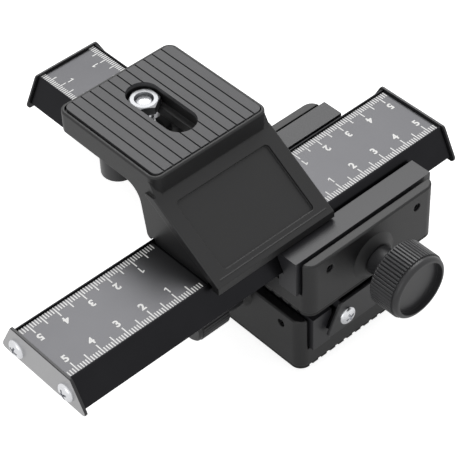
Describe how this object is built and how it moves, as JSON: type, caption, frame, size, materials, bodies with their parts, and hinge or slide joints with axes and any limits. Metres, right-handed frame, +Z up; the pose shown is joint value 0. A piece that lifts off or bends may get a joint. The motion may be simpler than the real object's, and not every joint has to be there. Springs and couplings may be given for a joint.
{
  "type": "macro focusing rail",
  "caption": "Two-axis macro focusing rail: crossed dovetail slides with rack and pinion knobs, millimetre scales and a raised camera platform with a slotted screw.",
  "frame": {"origin": "mouth of the tripod socket, in the middle of the base's underside", "axes": "+Z up, +Y along the lower rail towards its long end, +X along the upper rail, away from the camera platform"},
  "size_m": [0.1642, 0.1832, 0.0836],
  "materials": {
    "moulded_black": "matt, fine moulded grain",
    "gib_plastic": "satin",
    "rubber_pad": "matt",
    "camera_rubber": "matt, fine weave",
    "rail_anodised": "black anodised, satin",
    "plate_painted": "satin black",
    "scale_painted": "satin black with white marks",
    "knob_plastic": "satin",
    "bush_plastic": "satin",
    "rack_plastic": "moulded",
    "pinion_brass": "cut teeth",
    "bush_brass": "turned",
    "steel_bright": "zinc plated, bright",
    "steel_black": "black oxide"
  },
  "bodies": {
    "base": {"base_block": "moulded_black", "base_gibs": "gib_plastic", "base_gib_screws": "steel_black", "base_rubber_pad": "rubber_pad", "base_tripod_bush": "bush_brass", "base_pinion_bush": "bush_plastic"},
    "lower_pinion": {"base_focus_knob": "knob_plastic", "base_pinion_shaft": "steel_bright", "base_pinion": "pinion_brass"},
    "lower_lock": {"base_lock_knob": "knob_plastic", "base_lock_screw": "steel_bright"},
    "cross_slide": {"lower_rail": "rail_anodised", "lower_rack": "rack_plastic", "lower_end_plate_near": "plate_painted", "lower_end_plate_far": "plate_painted", "lower_end_screws": "steel_bright", "lower_scale": "scale_painted", "adapter_plate": "plate_painted", "adapter_screws": "steel_bright", "adapter_bolt": "steel_bright", "middle_block": "moulded_black", "middle_gibs": "gib_plastic", "middle_gib_screws": "steel_black", "middle_rubber_pad": "rubber_pad", "middle_tripod_bush": "bush_brass", "middle_pinion_bush": "bush_plastic"},
    "upper_pinion": {"middle_focus_knob": "knob_plastic", "middle_pinion_shaft": "steel_bright", "middle_pinion": "pinion_brass"},
    "upper_lock": {"middle_lock_knob": "knob_plastic", "middle_lock_screw": "steel_bright"},
    "top_slide": {"upper_rail": "rail_anodised", "upper_rack": "rack_plastic", "upper_end_plate_near": "plate_painted", "upper_end_plate_far": "plate_painted", "upper_end_screws": "steel_bright", "upper_scale_left": "scale_painted", "upper_scale_right": "scale_painted", "camera_bracket": "moulded_black", "bracket_screws": "steel_bright", "camera_pad": "camera_rubber"},
    "screw_carriage": {"slot_nut": "steel_bright"},
    "screw_lift": {"screw_washer": "steel_bright"},
    "camera_screw": {"camera_stud": "steel_bright", "wing_head": "knob_plastic"}
  },
  "joints": [
    {"name": "cross_travel", "type": "slide", "parent": "base", "child": "cross_slide", "axis": [0, 1, 0], "range_m": [-0.0958, 0.0014]},
    {"name": "lower_focus_turn", "type": "hinge", "parent": "base", "child": "lower_pinion", "pos_m": [0, 0, 0.00905], "axis": [1, 0, 0], "range_deg": [-30, 1160]},
    {"name": "lower_lock_turn", "type": "hinge", "parent": "base", "child": "lower_lock", "pos_m": [0, 0, 0.0172], "axis": [1, 0, 0], "range_deg": [0, 180]},
    {"name": "top_travel", "type": "slide", "parent": "cross_slide", "child": "top_slide", "axis": [1, 0, 0], "range_m": [-0.0165, 0.0805]},
    {"name": "upper_focus_turn", "type": "hinge", "parent": "cross_slide", "child": "upper_pinion", "pos_m": [0, -0.00384, 0.03765], "axis": [0, 1, 0], "range_deg": [-210, 980]},
    {"name": "upper_lock_turn", "type": "hinge", "parent": "cross_slide", "child": "upper_lock", "pos_m": [0, -0.00384, 0.0458], "axis": [0, -1, 0], "range_deg": [0, 180]},
    {"name": "screw_travel", "type": "slide", "parent": "top_slide", "child": "screw_carriage", "axis": [0, 1, 0], "range_m": [-0.012, 0]},
    {"name": "screw_lift", "type": "slide", "parent": "screw_carriage", "child": "screw_lift", "axis": [0, 0, 1], "range_m": [0, 0.0064]},
    {"name": "screw_turn", "type": "hinge", "parent": "screw_lift", "child": "camera_screw", "pos_m": [-0.03185, 0.03996, 0.07], "axis": [0, 0, 1], "range_deg": [0, 1814.7]}
  ],
  "couplings": [
    {"joint": "lower_focus_turn", "follows": "cross_travel", "rad_per_m": -208.33},
    {"joint": "upper_focus_turn", "follows": "top_travel", "rad_per_m": 208.33},
    {"joint": "screw_turn", "follows": "screw_lift", "rad_per_m": 4947.4}
  ]
}
